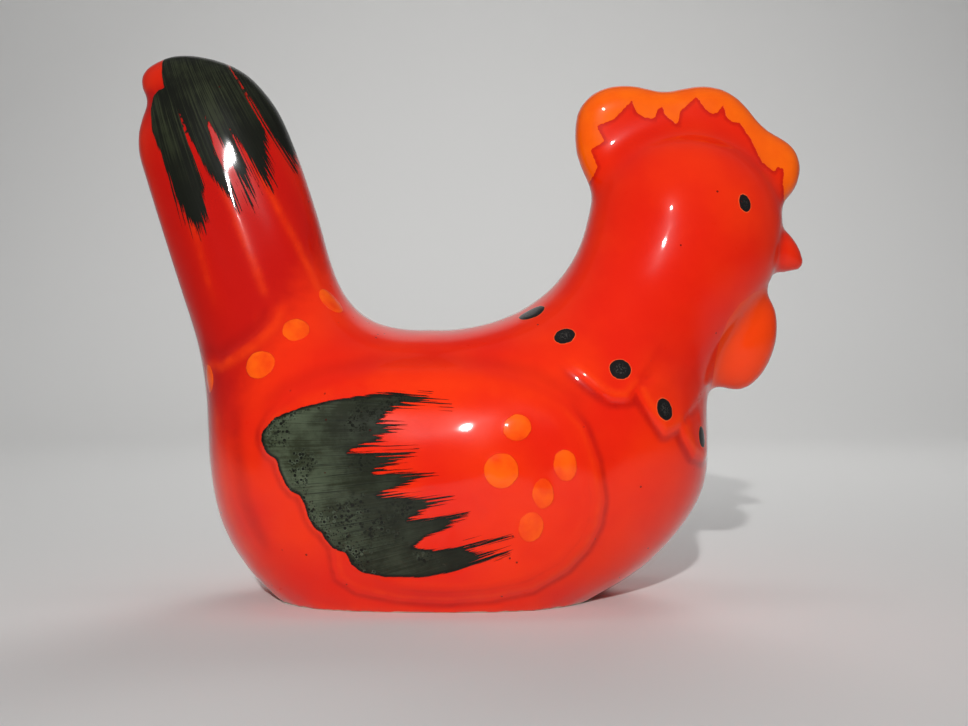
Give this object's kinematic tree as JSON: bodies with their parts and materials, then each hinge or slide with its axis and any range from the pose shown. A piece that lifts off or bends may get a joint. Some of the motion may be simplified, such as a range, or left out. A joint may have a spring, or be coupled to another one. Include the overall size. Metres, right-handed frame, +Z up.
{
  "type": "rooster money bank",
  "caption": "Hollow glazed ceramic rooster with an upright tail, a coin slot along its back and a soft stopper that pulls out of its foot.",
  "frame": {"origin": "on the table plane, under the middle of the figure's length and width", "axes": "+X towards the beak, +Y towards the rooster's left side, +Z up"},
  "size_m": [0.1427, 0.062, 0.1155],
  "materials": {
    "red_glaze": "glossy red-orange glaze, with orange and black-green painted decoration",
    "soft_plug": "matt soft vinyl"
  },
  "bodies": {
    "rooster": {"rooster_casting": "red_glaze"},
    "stopper": {"base_stopper": "soft_plug"}
  },
  "joints": [
    {"name": "stopper_pull", "type": "slide", "parent": "rooster", "child": "stopper", "axis": [0, 0, -1], "range_m": [0, 0.025]}
  ]
}
